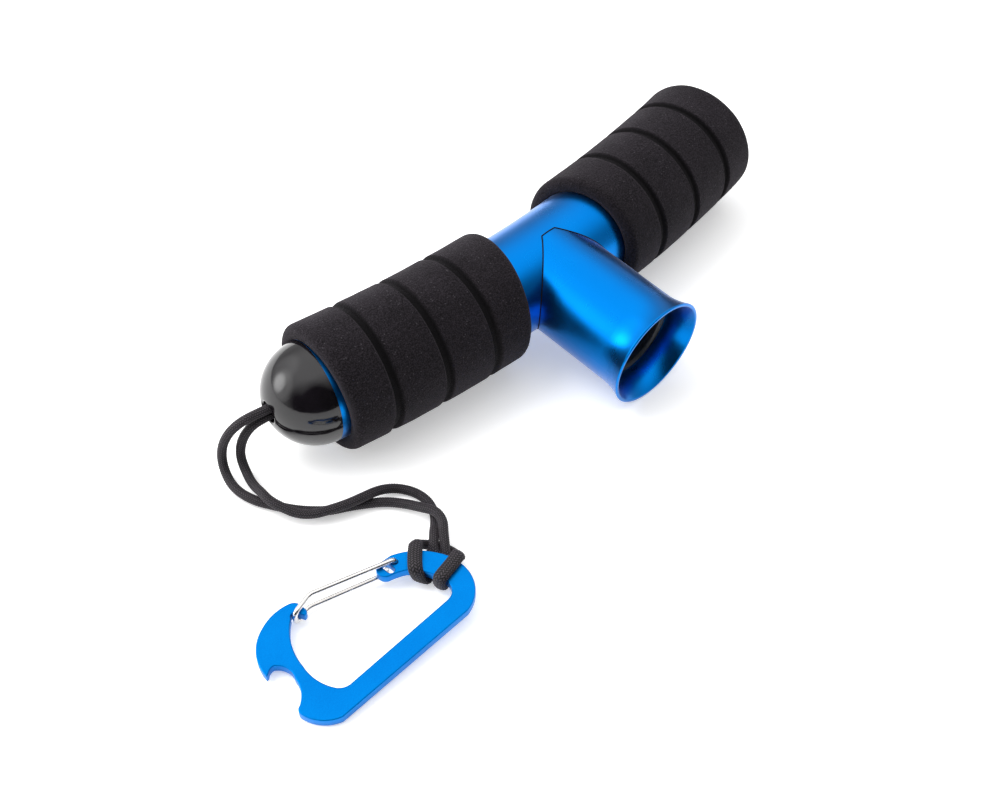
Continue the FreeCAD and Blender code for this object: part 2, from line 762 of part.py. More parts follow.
os.makedirs("parts", exist_ok=True)
for obj in SUBPARTS:
    obj.Shape.exportStep(f"parts/{obj.Label}.step")
    print(f"{obj.Label}: {len(obj.Shape.Solids)} solid, {obj.Shape.Volume:.0f} mm3")
box = FreeCAD.BoundBox()
for obj in SUBPARTS:
    if not obj.Label.startswith(("lanyard", "carabiner")):
        box.add(obj.Shape.optimalBoundingBox(False, False))
print(f"bar's box: x {box.XMin:.2f} {box.XMax:.2f}, y {box.YMin:.2f} {box.YMax:.2f}, "
      f"z {box.ZMin:.2f} {box.ZMax:.2f}")
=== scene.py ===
"""Looks for the rod-butt T-handle: braided lanyard, foam grips, anodised metal, wire gate."""

import math

import bpy
import numpy as np
from mathutils import Matrix, Quaternion, Vector, noise
from mathutils.bvhtree import BVHTree


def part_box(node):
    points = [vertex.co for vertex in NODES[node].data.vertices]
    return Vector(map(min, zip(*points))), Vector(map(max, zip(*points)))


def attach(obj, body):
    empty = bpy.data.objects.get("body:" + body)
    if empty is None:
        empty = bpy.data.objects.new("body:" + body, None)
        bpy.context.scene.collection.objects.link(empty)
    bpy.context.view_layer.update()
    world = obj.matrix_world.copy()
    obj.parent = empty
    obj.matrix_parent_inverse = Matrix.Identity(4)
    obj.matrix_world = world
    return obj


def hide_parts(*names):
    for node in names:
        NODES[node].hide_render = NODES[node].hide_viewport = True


MM = 0.001
NEARLY_ZERO = 1e-9
TOLERANCE = 1e-6
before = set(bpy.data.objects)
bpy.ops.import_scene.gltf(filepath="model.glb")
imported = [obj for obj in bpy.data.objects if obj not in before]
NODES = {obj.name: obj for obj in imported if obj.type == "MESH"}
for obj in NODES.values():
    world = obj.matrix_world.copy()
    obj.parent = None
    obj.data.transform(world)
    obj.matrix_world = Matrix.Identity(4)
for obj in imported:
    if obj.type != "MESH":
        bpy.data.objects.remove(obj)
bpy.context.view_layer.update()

# ---------------------------------------------------------------- sizes shared with the CAD model
# Lengths are in mm here and below, and in metres where MM is in the line or a comment says so.
BAR_MIDDLE = Vector((7.0, 13.7, 24.37))
DROOP = math.radians(2.7985)
BEND_RADIUS = 576.0
TUBE_RADIUS = 19.0
GRIP_RADIUS = 24.4
GROOVES = (42.4, 62.9, 83.4)
PLATE_PLACE = Vector((-137.0, -49.8, 2.55))
PLATE_RISE = (0.0583, 0.0338)  # upwards for each mm along X, and along Y
PLATE_THICKNESS = 3.6
PIVOT = (21.7, 9.6)
SECOND_EYE = (18.6, 10.2)
GATE_OPENING = 28  # degrees
CORD_RADIUS = 1.75


def plate_matrix():
    """The carabiner's place: its plate lies tilted on the floor."""
    across = Vector((1, 0, PLATE_RISE[0])).normalized()
    up = Vector((-PLATE_RISE[0], -PLATE_RISE[1], 1)).normalized()
    forward = up.cross(across)
    turn = Matrix((across, forward, up)).transposed().to_4x4()
    return Matrix.Translation(PLATE_PLACE) @ turn


PLATE = plate_matrix()
BAR = Matrix.Translation(BAR_MIDDLE) @ Matrix.Rotation(DROOP, 4, "X")


# ---------------------------------------------------------------- camera
CAMERA_AT = Vector((-0.316706, -0.278213, 0.435736))  # metres
CAMERA_AZIMUTH = -46.23  # degrees, as are the next two
CAMERA_ELEVATION = 48.215
CAMERA_ROLL = 2.07
CAMERA_LENS = 57.61
SENSOR_WIDTH = 36.0
CLIP_START, CLIP_END = 0.01, 100.0


def make_camera():
    """The photograph's camera, fitted to the outlines of the CAD model."""
    data = bpy.data.cameras.new("camera")
    data.lens = CAMERA_LENS
    data.sensor_width = SENSOR_WIDTH
    data.clip_start, data.clip_end = CLIP_START, CLIP_END
    camera = bpy.data.objects.new("camera", data)
    azimuth = math.radians(CAMERA_AZIMUTH)
    elevation = math.radians(CAMERA_ELEVATION)
    level = math.cos(elevation)
    back = Vector((math.sin(azimuth) * level, -math.cos(azimuth) * level, math.sin(elevation)))
    camera.rotation_mode = "QUATERNION"
    camera.rotation_quaternion = ((-back).to_track_quat("-Z", "Y")
                                  @ Quaternion((0, 0, 1), math.radians(CAMERA_ROLL)))
    camera.location = CAMERA_AT
    bpy.context.scene.collection.objects.link(camera)
    bpy.context.scene.camera = camera


make_camera()


# ---------------------------------------------------------------- materials
# Colours are linear red, green and blue. Noise scales are per metre, bump distances in metres.
WHITE = (1.0, 1.0, 1.0, 1)
BLUE_SHEEN = (0.62, 0.66, 0.9, 1)
WARM_SHEEN = (0.8, 0.72, 0.84, 1)
TUBE_LIGHT, TUBE_DARK = (0.0, 0.19, 0.61), (0.0, 0.16, 0.55)
PLATE_LIGHT, PLATE_DARK = (0.0, 0.235, 0.68), (0.0, 0.155, 0.54)
FOAM_DARK, FOAM_LIGHT = (0.0020, 0.0015, 0.0021), (0.0240, 0.0200, 0.0248)
# The second colour on the next line is painted shade inside the grooves.
FOAM_FLECK, FOAM_GROOVE_SHADE = (0.052, 0.048, 0.054), (0.0016, 0.0014, 0.0017)
FLECK_SHARE = 0.06  # of the foam's cells
CAP_DARK, CAP_LIGHT = (0.003, 0.0024, 0.0034), (0.006, 0.0048, 0.0066)
# Painted shadow of the gap where the stem meets the cross tube.
SEAM_SHADOW_DARK, SEAM_SHADOW_LIGHT = (0.0008, 0.0008, 0.001), (0.006, 0.006, 0.008)
NYLON_DARK, NYLON_LIGHT = (0.012, 0.012, 0.013), (0.03, 0.03, 0.032)
STEEL_GREY, WIRE_GREY = (0.6, 0.6, 0.6), (0.78, 0.76, 0.74)
STEEL_SHADE = 0.86  # of the full colour, where steel is darkest
# The first yarn colour is painted shade for the gaps between carriers.
YARN_GAP_SHADE, YARN_LIGHT = (0.0006, 0.0004, 0.0007), (0.082, 0.071, 0.083)
THREADS = 21000.0  # radians of the thread pattern for each metre
FLOOR_DARK, FLOOR_LIGHT = (0.86, 0.86, 0.86), (0.88, 0.88, 0.88)


class Shader:
    """A Principled material and the nodes that drive it."""

    def __init__(self, name, **sockets):
        self.material = bpy.data.materials.new(name)
        self.material.use_nodes = True
        self.tree = self.material.node_tree
        self.shader = self.tree.nodes["Principled BSDF"]
        for socket, value in sockets.items():
            self.shader.inputs[socket.replace("_", " ")].default_value = value
        self.coords = self.tree.nodes.new("ShaderNodeTexCoord")

    def node(self, kind, inputs=None, **settings):
        made = self.tree.nodes.new(f"ShaderNode{kind}")
        for setting, value in settings.items():
            setattr(made, setting, value)
        for socket, value in (inputs or {}).items():
            if isinstance(value, bpy.types.NodeSocket):
                self.tree.links.new(value, made.inputs[socket])
            else:
                made.inputs[socket].default_value = value
        return made

    def link(self, output, socket):
        self.tree.links.new(output, self.shader.inputs[socket])

    def noise(self, scale, detail=2.0, roughness=0.5, stretch=None):
        where = self.coords.outputs["Object"]
        if stretch:
            where = self.node("Mapping", {"Vector": where, "Scale": stretch}).outputs["Vector"]
        made = self.node("TexNoise", {"Vector": where, "Scale": scale, "Detail": detail,
                                      "Roughness": roughness})
        return made.outputs["Fac"]

    def span(self, value, low, high, out_low, out_high):
        """The value, with low to high stretched over out_low to out_high and held there."""
        made = self.node("MapRange", {"Value": value, "From Min": low, "From Max": high,
                                      "To Min": out_low, "To Max": out_high})
        return made.outputs["Result"]

    def colours(self, factor, first, second):
        """A mix of two colours. Each is three numbers or another node's output."""
        made = self.node("Mix", data_type="RGBA")
        mix = {socket.identifier: socket for socket in made.inputs}
        self.tree.links.new(factor, mix["Factor_Float"])
        for name, colour in (("A_Color", first), ("B_Color", second)):
            if isinstance(colour, bpy.types.NodeSocket):
                self.tree.links.new(colour, mix[name])
            else:
                mix[name].default_value = (*colour, 1)
        return next(s for s in made.outputs if s.identifier == "Result_Color")

    def attribute(self, name):
        return self.node("Attribute", attribute_name=name, attribute_type="GEOMETRY").outputs["Fac"]

    def math(self, operation, first, second=None):
        inputs = {0: first} if second is None else {0: first, 1: second}
        return self.node("Math", inputs, operation=operation).outputs["Value"]

    def bump(self, height, strength, distance):
        inputs = {"Height": height, "Strength": strength, "Distance": distance}
        return self.node("Bump", inputs).outputs["Normal"]


def anodised(name, light, dark, roughness, grain_contrast):
    """Satin anodised aluminium: bead-blasted grain and faint clouds, with a pale bloom along its edges."""
    s = Shader(name, Metallic=1.0, Coat_Weight=0.02, Coat_Roughness=0.3, Sheen_Weight=0.25,
               Sheen_Roughness=0.3, Sheen_Tint=BLUE_SHEEN)
    cloud = s.noise(35.0, 3.0)
    grain = s.noise(2600.0, 2.0, 0.65)
    shade = s.math("ADD", s.span(cloud, 0.2, 0.8, 0.3, 0.7),
                   s.span(grain, 0.2, 0.8, -grain_contrast, grain_contrast))
    s.link(s.colours(shade, dark, light), "Base Color")
    smear = s.noise(90.0, 3.0, 0.5, stretch=(1.0, 1.0, 0.35))
    s.link(s.span(smear, 0.3, 0.7, roughness - 0.03, roughness + 0.04), "Roughness")
    return s.material


def foam():
    """Closed-cell foam: a pebble of cut cells, a few lighter ones, and painted shade darkening its grooves.
    """
    s = Shader("foam", Roughness=0.95, Specular_IOR_Level=0.16, Sheen_Weight=0.07, Sheen_Roughness=0.5,
               Sheen_Tint=WARM_SHEEN)
    where = s.coords.outputs["Object"]
    cells = s.node("TexVoronoi", {"Vector": where, "Scale": 1350.0, "Randomness": 1.0})
    grain = s.noise(2300.0, 2.0, 0.7)
    patches = s.noise(45.0, 3.0, 0.55)
    shade = s.math("ADD", s.span(grain, 0.42, 0.62, 0.0, 0.85), s.span(patches, 0.3, 0.7, -0.1, 0.15))
    body = s.colours(shade, FOAM_DARK, FOAM_LIGHT)
    cell_number = s.node("SeparateColor", {"Color": cells.outputs["Color"]}).outputs["Red"]
    chosen = s.math("GREATER_THAN", cell_number, 1 - FLECK_SHARE)
    fleck = s.math("MULTIPLY", chosen, s.span(cells.outputs["Distance"], 0.15, 0.4, 1.0, 0.0))
    flecked = s.colours(fleck, body, FOAM_FLECK)
    # Painted shade: the foam goes nearly black inside its grooves, by the groove attribute.
    s.link(s.colours(s.attribute("groove"), flecked, FOAM_GROOVE_SHADE), "Base Color")
    pits = s.span(cells.outputs["Distance"], 0.0, 0.6, 1.0, 0.0)
    height = s.math("ADD", s.math("MULTIPLY", pits, -0.5), grain)
    s.link(s.bump(height, 0.9, 0.0002), "Normal")
    return s.material


def gloss_black():
    """Moulded black plastic, polished, with faint haze and hairline scuffs."""
    s = Shader("cap_gloss", Coat_Weight=0.12, Coat_Roughness=0.04, Specular_IOR_Level=0.5)
    haze = s.noise(90.0, 4.0, 0.6)
    s.link(s.colours(s.span(haze, 0.3, 0.7, 0.0, 1.0), CAP_DARK, CAP_LIGHT), "Base Color")
    scuffs = s.noise(700.0, 3.0, 0.7, stretch=(1.0, 0.3, 1.0))
    s.link(s.span(scuffs, 0.4, 0.75, 0.07, 0.16), "Roughness")
    s.link(s.bump(s.noise(45.0, 2.0), 0.05, 0.0005), "Normal")
    return s.material


def seam_shadow():
    """Painted shadow of the gap in the stem's joint: a thin near-black bead, a little dusty."""
    s = Shader("seam_shadow", Roughness=0.7, Specular_IOR_Level=0.2)
    # Painted shadow: near-black colour standing in for the shade in the joint's gap.
    s.link(s.colours(s.noise(900.0, 3.0), SEAM_SHADOW_DARK, SEAM_SHADOW_LIGHT), "Base Color")
    s.link(s.bump(s.noise(1500.0, 2.0), 0.3, 0.00005), "Normal")
    return s.material


def nylon():
    """Turned nylon: fine rings left by the tool."""
    s = Shader("nylon", Roughness=0.5)
    rings = s.node("TexWave", {"Vector": s.coords.outputs["Object"], "Scale": 420.0, "Distortion": 0.4},
                   wave_type="BANDS", bands_direction="Y")
    s.link(s.colours(rings.outputs["Fac"], NYLON_DARK, NYLON_LIGHT), "Base Color")
    s.link(s.bump(rings.outputs["Fac"], 0.4, 0.00008), "Normal")
    s.link(s.span(s.noise(300.0, 3.0), 0.3, 0.7, 0.42, 0.6), "Roughness")
    return s.material


def steel(name, colour, roughness, stretch):
    """Stainless steel with fine drawn lines, along the axis whose stretch is smallest."""
    s = Shader(name, Metallic=1.0)
    lines = s.noise(1800.0, 3.0, 0.6, stretch=stretch)
    shade = s.span(s.noise(120.0, 3.0), 0.3, 0.7, 0.0, 1.0)
    s.link(s.colours(shade, tuple(c * STEEL_SHADE for c in colour), colour), "Base Color")
    s.link(s.span(lines, 0.3, 0.7, roughness - 0.06, roughness + 0.1), "Roughness")
    s.link(s.bump(lines, 0.2, 0.00004), "Normal")
    return s.material


def braid():
    """Black nylon yarn: fine threads that lie along each carrier, from the cord's own UV map, and painted
    shade that darkens the gaps between carriers.
    """
    s = Shader("cord_braid", Roughness=0.6, Specular_IOR_Level=0.3, Sheen_Weight=0.1, Sheen_Roughness=0.4,
               Sheen_Tint=WARM_SHEEN)
    raised = s.attribute("raised")
    where = s.node("SeparateXYZ", {"Vector": s.coords.outputs["UV"]})
    along, around = where.outputs["X"], where.outputs["Y"]
    lean = s.span(s.attribute("carrier_side"), 0.0, 1.0, BRAID_SLOPE, -BRAID_SLOPE)
    across = s.math("ADD", along, s.math("MULTIPLY", around, lean))
    threads = s.math("SINE", s.math("MULTIPLY", across, THREADS))
    tone = s.noise(1100.0, 3.0, 0.6)
    # Painted shade: nearly black where the braid is low between carriers, mixed with random tone.
    gap_shade_and_tone = s.math("MULTIPLY", s.span(raised, 0.4, 0.95, 0.0, 1.0), s.span(tone, 0.3, 0.7, 0.5, 1.0))
    s.link(s.colours(gap_shade_and_tone, YARN_GAP_SHADE, YARN_LIGHT), "Base Color")
    s.link(s.bump(threads, 0.25, 0.00004), "Normal")
    return s.material


# ---------------------------------------------------------------- mesh helpers
def linked(name, mesh, material):
    """A new object with this mesh, and this material alone."""
    made = bpy.data.objects.new(name, mesh)
    bpy.context.scene.collection.objects.link(made)
    mesh.materials.clear()
    mesh.materials.append(material)
    return made


def ring_mesh(name, rings, closed_ends=False, wrap=False, uvs=None):
    """A skin over rings of points, an array of (ring, point, xyz). wrap joins the last ring to the first."""
    rings = np.asarray(rings, float)
    count, sides = rings.shape[:2]
    faces = []
    for i in range(count if wrap else count - 1):
        a, b = i * sides, (i + 1) % count * sides
        for j in range(sides):
            k = (j + 1) % sides
            faces.append((a + j, a + k, b + k, b + j))
    if closed_ends:
        faces.append(tuple(reversed(range(sides))))
        faces.append(tuple(range((count - 1) * sides, count * sides)))
    mesh = bpy.data.meshes.new(name)
    mesh.from_pydata(rings.reshape(-1, 3).tolist(), [], faces)
    for polygon in mesh.polygons:
        polygon.use_smooth = len(polygon.vertices) == 4
    if uvs is not None:
        layer = mesh.uv_layers.new(name="UVMap")
        corners = ring_corners(count if wrap else count - 1, sides)
        for index, (i, j) in enumerate(corners):
            layer.data[index].uv = (uvs[i % count], j / sides)
    mesh.validate()
    mesh.update()
    return mesh


def ring_corners(count, sides):
    """Ring and side numbers of each face corner, in the order ring_mesh makes them."""
    for i in range(count):
        for j in range(sides):
            yield from ((i, j), (i, j + 1), (i + 1, j + 1), (i + 1, j))


# ---------------------------------------------------------------- lanyard
# Control points of the cord's line: the near strand, the hitch and the far strand are one cord.
# Strands in mm from the bar's middle, heights from the ground; the hitch in the plate's frame.
NEAR_START = (-118.1014, 11.8940, 26.7536)
FAR_START = (-118.1014, 12.0698, 23.1578)
NEAR_STRAND = [
    (-125.6, 13.8, 26.4),
    (-130.4, 16.4, 23.4),
    (-133.7, 19.1, 17.6),
    (-135.5, 20.5, 10.6),
    (-136.7, 19.1, 4.4),
    (-138.4, 13.4, 1.8),
    (-138.8, 7.4, 1.8),
    (-137.0, 0.6, 1.8),
    (-133.8, -4.8, 1.8),
    (-130.8, -10.0, 1.8),
    (-126.7, -15.0, 1.8),
    (-121.8, -19.5, 1.8),
    (-115.8, -22.6, 1.8),
    (-110.3, -26.1, 1.8),
    (-104.9, -30.1, 1.8),
    (-100.9, -35.6, 2.2),
    (-99.2, -41.8, 4.4),
    (-97.7, -46.8, 6.2),
    (-98.6, -51.7, 6.5),
]
FAR_STRAND = [
    (-123.8, 13.6, 22.4),
    (-127.4, 15.4, 18.6),
    (-129.3, 17.1, 12.6),
    (-130.7, 16.7, 6.8),
    (-132.0, 12.4, 3.2),
    (-133.7, 6.6, 2.8),
    (-134.8, 0.4, 5.2),
    (-135.3, -4.8, 5.6),
    (-133.5, -10.0, 4.8),
    (-131.4, -14.4, 4.0),
    (-127.6, -18.4, 4.0),
    (-122.8, -21.4, 5.0),
    (-117.0, -23.9, 5.4),
    (-110.6, -25.7, 5.8),
    (-104.6, -25.8, 4.0),
    (-98.8, -27.6, 1.9),
    (-95.2, -33.0, 1.8),
    (-94.2, -39.0, 1.8),
    (-96.0, -44.6, 1.8),
    (-99.4, -48.8, 2.0),
    (-103.5, -52.5, 4.9),
]
HITCH = [
    (41.8, 7.6, 1.2),
    (38.6, 3.4, 0.0),
    (35.4, 0.2, -1.5),
    (32.0, -2.9, -1.6),
    (28.9, -5.4, -1.6),
    (27.3, -5.8, -0.6),
    (27.2, -5.8, 3.8),
    (28.7, -5.7, 5.0),
    (32.0, -5.1, 4.9),
    (36.2, -4.3, 5.0),
    (38.6, -3.4, 4.4),
    (39.6, -2.4, 0.0),
    (40.8, 1.2, -3.05),
    (39.6, 6.4, -3.25),
    (36.4, 10.2, -2.85),
    (33.0, 10.8, 0.2),
    (31.2, 9.6, 4.3),
    (29.0, 7.6, 5.0),
    (26.6, 5.2, 4.9),
    (24.6, 2.9, 5.0),
    (23.8, 1.6, 3.9),
    (24.2, 0.7, 0.2),
    (25.8, -0.3, -1.4),
    (28.8, 1.0, -1.6),
    (32.6, 3.6, -1.5),
    (36.6, 6.8, 0.8),
]
CARRIERS = 14  # in each direction round the cord
CARRIER_PITCH = 0.85
CARRIERS_OVER = 2
BRAID_REPEAT = 2 * CARRIERS_OVER
BRAID_SLOPE = CARRIERS * CARRIER_PITCH * MM
BRAID_RELIEF = 0.26
# A carrier's crown across, and a stitch's along: powers below 1 make them flatter than a sine.
CARRIER_FLATNESS = 0.7
STITCH_END, STITCH_FLATNESS = 0.2, 0.5
CORD_SIDES = 84
CORD_STEP = 0.2
# Pulled tight on the plate, the cord is this much of its own thickness and width. It starts to
# flatten where its middle is this far from the plate, and is flattened in full where it is nearer.
PRESSED_THICKNESS = 0.74
PRESSED_WIDTH = 1.45
PRESS_STARTS, PRESS_FULL = 3.4 * MM, 2.1 * MM
PRESS_REACH = 9  # points on each side that the flattening is averaged over
KNOT_POINTS = 24
KNOT_RING, KNOT_TWIST = 0.5, 0.25  # of the knot's half height


def cord_route():
    """The cord's control points, in metres, from the dome round the carabiner and back."""
    shift = Vector((BAR_MIDDLE.x, BAR_MIDDLE.y, 0))
    strand = [NEAR_START] + NEAR_STRAND
    route = [Vector(point) + shift for point in strand]
    route += [PLATE @ Vector(point) for point in HITCH]
    route += [Vector(point) + shift for point in reversed([FAR_START] + FAR_STRAND)]
    return [point * MM for point in route]


def spline_line(name, points, cyclic=False):
    """Points along a smooth NURBS spline with these control points."""
    curve = bpy.data.curves.new(name, "CURVE")
    curve.dimensions = "3D"
    spline = curve.splines.new("NURBS")
    spline.points.add(len(points) - 1)
    for target, point in zip(spline.points, points):
        target.co = (*point, 1)
    spline.order_u = 3
    spline.use_endpoint_u = not cyclic
    spline.use_cyclic_u = cyclic
    spline.resolution_u = 24
    holder = bpy.data.objects.new(name, curve)
    bpy.context.scene.collection.objects.link(holder)
    bpy.context.view_layer.update()
    mesh = bpy.data.meshes.new_from_object(holder.evaluated_get(bpy.context.evaluated_depsgraph_get()))
    line = np.array([v.co[:] for v in mesh.vertices])
    if cyclic:
        line = np.vstack((line, line[:1]))
    bpy.data.objects.remove(holder)
    bpy.data.meshes.remove(mesh)
    return line


def evenly(line, step):
    """The line's points at even distances, and those distances."""
    gaps = np.linalg.norm(np.diff(line, axis=0), axis=1)
    keep = np.concatenate(([True], gaps > NEARLY_ZERO))
    line = line[keep]
    along = np.concatenate(([0], np.cumsum(np.linalg.norm(np.diff(line, axis=0), axis=1))))
    count = max(2, round(along[-1] / step) + 1)
    at = np.linspace(0, along[-1], count)
    return np.stack([np.interp(at, along, line[:, k]) for k in range(3)], axis=1), at


def carried_frames(line):
    """Two directions square to the line at each point, carried along it without twisting."""
    tangents = np.gradient(line, axis=0)
    tangents /= np.linalg.norm(tangents, axis=1, keepdims=True)
    side = np.cross(tangents[0], (0, 0, 1.0))
    sides = []
    for tangent in tangents:
        side = side - tangent * side.dot(tangent)
        side /= np.linalg.norm(side)
        sides.append(side)
    sides = np.array(sides)
    return sides, np.cross(tangents, sides)


def braid_height(along, around):
    """Relief of a two-over-two tubular braid, from 0 to 1, and which way the upper carrier leans.

    The stitches lie in columns along the cord, and lean the other way in every second column."""
    first = CARRIERS * around + along / CARRIER_PITCH
    second = CARRIERS * around - along / CARRIER_PITCH
    upper_first = (np.floor(first) + np.floor(second)) % BRAID_REPEAT < CARRIERS_OVER
    across = np.where(upper_first, first, second)
    stitch_first = (np.floor(first) + second) % BRAID_REPEAT / CARRIERS_OVER
    stitch_second = (first + np.floor(second) - CARRIERS_OVER) % BRAID_REPEAT / CARRIERS_OVER
    stitch = np.clip(np.where(upper_first, stitch_first, stitch_second), 0, 1)
    crown = np.abs(np.sin(np.pi * across)) ** CARRIER_FLATNESS
    rise = STITCH_END + (1 - STITCH_END) * np.sin(np.pi * stitch) ** STITCH_FLATNESS
    return crown * rise, upper_first


def cord_skin(name, line, along, closed=False):
    """The braided surface of a cord that follows a line."""
    sides, ups = carried_frames(line)
    around = np.arange(CORD_SIDES) / CORD_SIDES
    grid_along, grid_around = np.meshgrid(along / MM, around, indexing="ij")
    height, leans = braid_height(grid_along, grid_around)
    radius = (CORD_RADIUS - BRAID_RELIEF * (1 - height)) * MM
    angle = 2 * np.pi * grid_around
    offsets = (sides[:, None] * (radius * np.cos(angle))[..., None]
               + ups[:, None] * (radius * np.sin(angle))[..., None])
    if not closed:
        offsets = pressed(line, offsets)
    mesh = ring_mesh(name, line[:, None] + offsets, closed_ends=not closed, wrap=closed, uvs=along)
    for attribute, values in (("raised", height), ("carrier_side", leans)):
        layer = mesh.attributes.new(attribute, "FLOAT", "POINT")
        layer.data.foreach_set("value", np.asarray(values, np.float32).ravel())
    return mesh


def pressed(line, offsets):
    """Flattens the cord where it is pulled tight round the carabiner's plate."""
    plate_mesh = NODES["carabiner_body"].data
    tree = BVHTree.FromPolygons([v.co for v in plate_mesh.vertices],
                                [p.vertices for p in plate_mesh.polygons])
    away = np.zeros_like(line)
    press = np.zeros(len(line))
    for index, point in enumerate(line):
        found = tree.find_nearest(point, PRESS_STARTS)
        if found[0] is not None:
            away[index] = (point - np.array(found[0])) / max(found[3], TOLERANCE)
            press[index] = min(1.0, (PRESS_STARTS - found[3]) / (PRESS_STARTS - PRESS_FULL))
    away, press = smoothed(away), smoothed(press[:, None])[..., None]
    tangents = np.gradient(line, axis=0)
    tangents /= np.linalg.norm(tangents, axis=1, keepdims=True)
    away -= tangents * (away * tangents).sum(axis=1, keepdims=True)
    away /= np.maximum(np.linalg.norm(away, axis=1, keepdims=True), NEARLY_ZERO)
    upright = (offsets * away[:, None]).sum(axis=2, keepdims=True) * away[:, None]
    flat = offsets - upright
    return flat * (1 + (PRESSED_WIDTH - 1) * press) + upright * (1 - (1 - PRESSED_THICKNESS) * press)


def smoothed(values):
    """Each row averaged with its neighbours along the line."""
    kernel = np.hanning(2 * PRESS_REACH + 3)[1:-1]
    kernel /= kernel.sum()
    padded = np.pad(values, ((PRESS_REACH, PRESS_REACH), (0, 0)), mode="edge")
    return np.stack([np.convolve(column, kernel, mode="valid") for column in padded.T], axis=1)


def make_lanyard(material):
    """Both strands and the hitch between them, as one cord."""
    line, along = evenly(spline_line("lanyard_line", cord_route()), CORD_STEP * MM)
    cord = linked("lanyard", cord_skin("lanyard", line, along), material)
    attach(cord, "handle")
    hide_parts("lanyard_near_strand", "lanyard_far_strand", "lanyard_hitch")
    return cord, line


def make_knot(material):
    """The stopper knot inside the dome: one overhand turn, closed on itself."""
    low, high = (Vector(corner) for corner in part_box("lanyard_knot"))
    middle, size = (low + high) / 2, (high - low).z / 2
    ring, twist = size * KNOT_RING, size * KNOT_TWIST
    points = []
    for index in range(KNOT_POINTS):
        turn = 2 * math.pi * index / KNOT_POINTS
        reach = ring + twist * math.cos(3 * turn)
        points.append(middle + Vector((reach * math.cos(2 * turn), reach * math.sin(2 * turn),
                                       twist * math.sin(3 * turn))))
    line, along = evenly(spline_line("knot_line", points, cyclic=True), CORD_STEP * MM)
    knot = linked("stopper_knot", cord_skin("stopper_knot", line[:-1], along[:-1], closed=True), material)
    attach(knot, "handle")
    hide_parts("lanyard_knot")


# ---------------------------------------------------------------- foam grips
# Where each grip starts and ends, along the bar's axis from its middle.
GRIP_SPANS = {"near_grip": (-101.3, -22.4), "far_grip": (20.9, 101.4)}
GRIP_SIDES = 144
GRIP_STEP = 0.7
BORE_STEP = 4
GRIP_CORNER = 2.8
CORNER_POINTS = 7
BORE_CLEARANCE = 0.12
BORE_LIP, LIP_ROUND = 0.1, 0.4
BORE_START = 0.6
GROOVE_DEPTH = 1.5
GROOVE_HALF_WIDTH = 1.55
GROOVE_EDGE, GROOVE_SQUARENESS = 1.6, 6
GROOVE_POINTS, GROOVE_POINT_STEP = 13, 0.18  # on each side of its middle
GROOVE_CLEAR = 2.7  # nearer than this to a groove, only its own points are kept
# A straight sleeve pulled over a bent tube: its ends lean. For each end, how far it is shifted
# all round, how far it leans, and the angle from the mouth's side where it leans most.
GRIP_LEAN = {
    "near_grip": ((0.0, 1.7, -0.35), (-0.6, -3.5, -0.3)),
    "far_grip": ((1.0, 3.6, 0.6), (0.0, 0.0, 0.0)),
}
LEAN_FADE = 2.5  # a lean is gone at 1 / 2.5 of the grip's length
# Slow waves in the foam's surface, and in the line of each groove.
FOAM_UNEVEN = 0.12
UNEVEN_ALONG, UNEVEN_AROUND, UNEVEN_SCALE = 0.09, 2.1, 1.7
GROOVE_WANDER = 0.18
WANDER_ALONG, WANDER_ROW = 0.02, 3.0
OUTSIDE_RADIUS = TUBE_RADIUS + 2


def bar_point(distance, radius, angle):
    """A place round the bar's axis, in the row's frame. Angle 0 is on the mouth's side."""
    turn = distance / BEND_RADIUS
    axis = Vector((BEND_RADIUS * math.sin(turn), BEND_RADIUS * (1 - math.cos(turn)), 0))
    out = Vector((math.sin(turn), -math.cos(turn), 0))
    spot = axis + out * (radius * math.cos(angle)) + Vector((0, 0, radius * math.sin(angle)))
    return (BAR @ spot) * MM


def grip_profile(low, high):
    """(distance, radius) round a grip's section, from its bore over the outside and back."""
    sleeve = TUBE_RADIUS + BORE_CLEARANCE
    corner = []
    for index in range(CORNER_POINTS):
        turn = math.pi / 2 * index / (CORNER_POINTS - 1)
        distance = low + GRIP_CORNER * (1 - math.sin(turn))
        corner.append((distance, GRIP_RADIUS - GRIP_CORNER * (1 - math.cos(turn))))
    low_end = [(low + BORE_START, sleeve), (low + BORE_LIP, sleeve + LIP_ROUND)]
    low_end += sorted(corner, key=lambda p: p[1])
    high_end = [(low + high - distance, radius) for distance, radius in reversed(low_end)]
    straight = high - low - 2 * GRIP_CORNER
    count = round(straight / GRIP_STEP)
    outside = [(low + GRIP_CORNER + straight * index / count, GRIP_RADIUS) for index in range(1, count)]
    bore = high - low - 2 * BORE_START
    count = round((high - low) / BORE_STEP)
    inside = [(high - BORE_START - bore * index / count, sleeve) for index in range(1, count)]
    return low_end + outside + high_end + inside


def groove_drop(distance):
    """How far a groove lets the surface down at a distance along the bar."""
    drop = 0
    for groove in GROOVES:
        off = abs(abs(distance) - groove) / GROOVE_HALF_WIDTH
        if off < GROOVE_EDGE:
            drop = max(drop, GROOVE_DEPTH * math.exp(-off ** GROOVE_SQUARENESS))
    return drop


def end_lean(name, share, angle):
    """Shift along the bar of a place on a grip, a share of its length from its low end."""
    low_shift, high_shift = (offset + lean * math.cos(angle - most) for offset, lean, most in GRIP_LEAN[name])
    at_low = max(0.0, 1 - share * LEAN_FADE)
    at_high = max(0.0, 1 - (1 - share) * LEAN_FADE)
    return low_shift * at_low + high_shift * at_high


